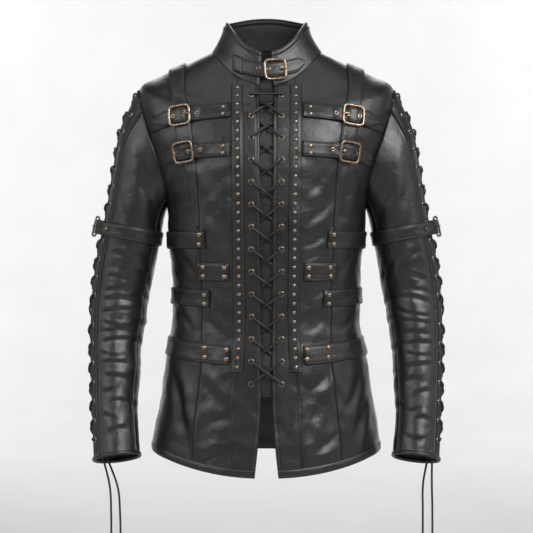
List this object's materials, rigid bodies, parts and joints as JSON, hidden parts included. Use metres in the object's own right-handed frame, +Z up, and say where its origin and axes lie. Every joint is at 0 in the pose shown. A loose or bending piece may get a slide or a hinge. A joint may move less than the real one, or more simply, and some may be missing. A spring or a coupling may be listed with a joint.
{
  "type": "lace-up leather jacket",
  "caption": "Hip-length stand-collar leather jacket laced up the front and down both outer sleeves, with buckled straps and rows of studs, held in its worn hollow form.",
  "frame": {"origin": "middle of the neck at the height of the shoulders, where the jacket hangs on the wearer", "axes": "+Z up along the body, +X to the wearer's left, front towards -Y"},
  "size_m": [0.635, 0.2687, 0.9178],
  "materials": {
    "black_leather": "semi-gloss black, grained",
    "tongue_leather": "matt black",
    "antique_brass": "darkened antique brass, worn bright along the edges",
    "lace_cord": "round black leather cord"
  },
  "bodies": {
    "root": {"placket_left": "black_leather", "placket_right": "black_leather", "front_panel_left": "black_leather", "front_panel_right": "black_leather", "side_front_panel_left": "black_leather", "side_front_panel_right": "black_leather", "side_back_panel_left": "black_leather", "side_back_panel_right": "black_leather", "back_panel": "black_leather", "collar": "black_leather", "hem_binding": "black_leather", "collar_strap": "black_leather", "upper_side_strap": "black_leather", "lower_side_strap": "black_leather", "waist_belt": "black_leather", "chest_strap_upper_left": "black_leather", "chest_strap_upper_right": "black_leather", "chest_strap_lower_left": "black_leather", "chest_strap_lower_right": "black_leather", "chest_base_upper_left": "black_leather", "chest_base_upper_right": "black_leather", "chest_base_lower_left": "black_leather", "chest_base_lower_right": "black_leather", "shoulder_strap_left": "black_leather", "shoulder_strap_right": "black_leather", "centre_strap_left": "black_leather", "centre_strap_right": "black_leather", "top_sleeve_left": "black_leather", "top_sleeve_right": "black_leather", "under_sleeve_left": "black_leather", "under_sleeve_right": "black_leather", "sleeve_band_front_left": "black_leather", "sleeve_band_front_right": "black_leather", "sleeve_band_back_left": "black_leather", "sleeve_band_back_right": "black_leather", "sleeve_gusset_left": "black_leather", "sleeve_gusset_right": "black_leather", "arm_strap_left": "black_leather", "arm_strap_right": "black_leather", "cuff_binding_left": "black_leather", "cuff_binding_right": "black_leather", "tongue": "tongue_leather", "stud_strip_left": "antique_brass", "stud_strip_right": "antique_brass", "chest_buckle_upper_left": "antique_brass", "chest_buckle_upper_right": "antique_brass", "chest_buckle_lower_left": "antique_brass", "chest_buckle_lower_right": "antique_brass", "arm_buckle_left": "antique_brass", "arm_buckle_right": "antique_brass", "collar_buckle": "antique_brass", "front_lace": "lace_cord", "sleeve_lace_left": "lace_cord", "sleeve_lace_right": "lace_cord", "lace_end_front_left": "lace_cord", "lace_end_back_left": "lace_cord", "lace_end_front_right": "lace_cord", "lace_end_back_right": "lace_cord"}
  },
  "joints": []
}
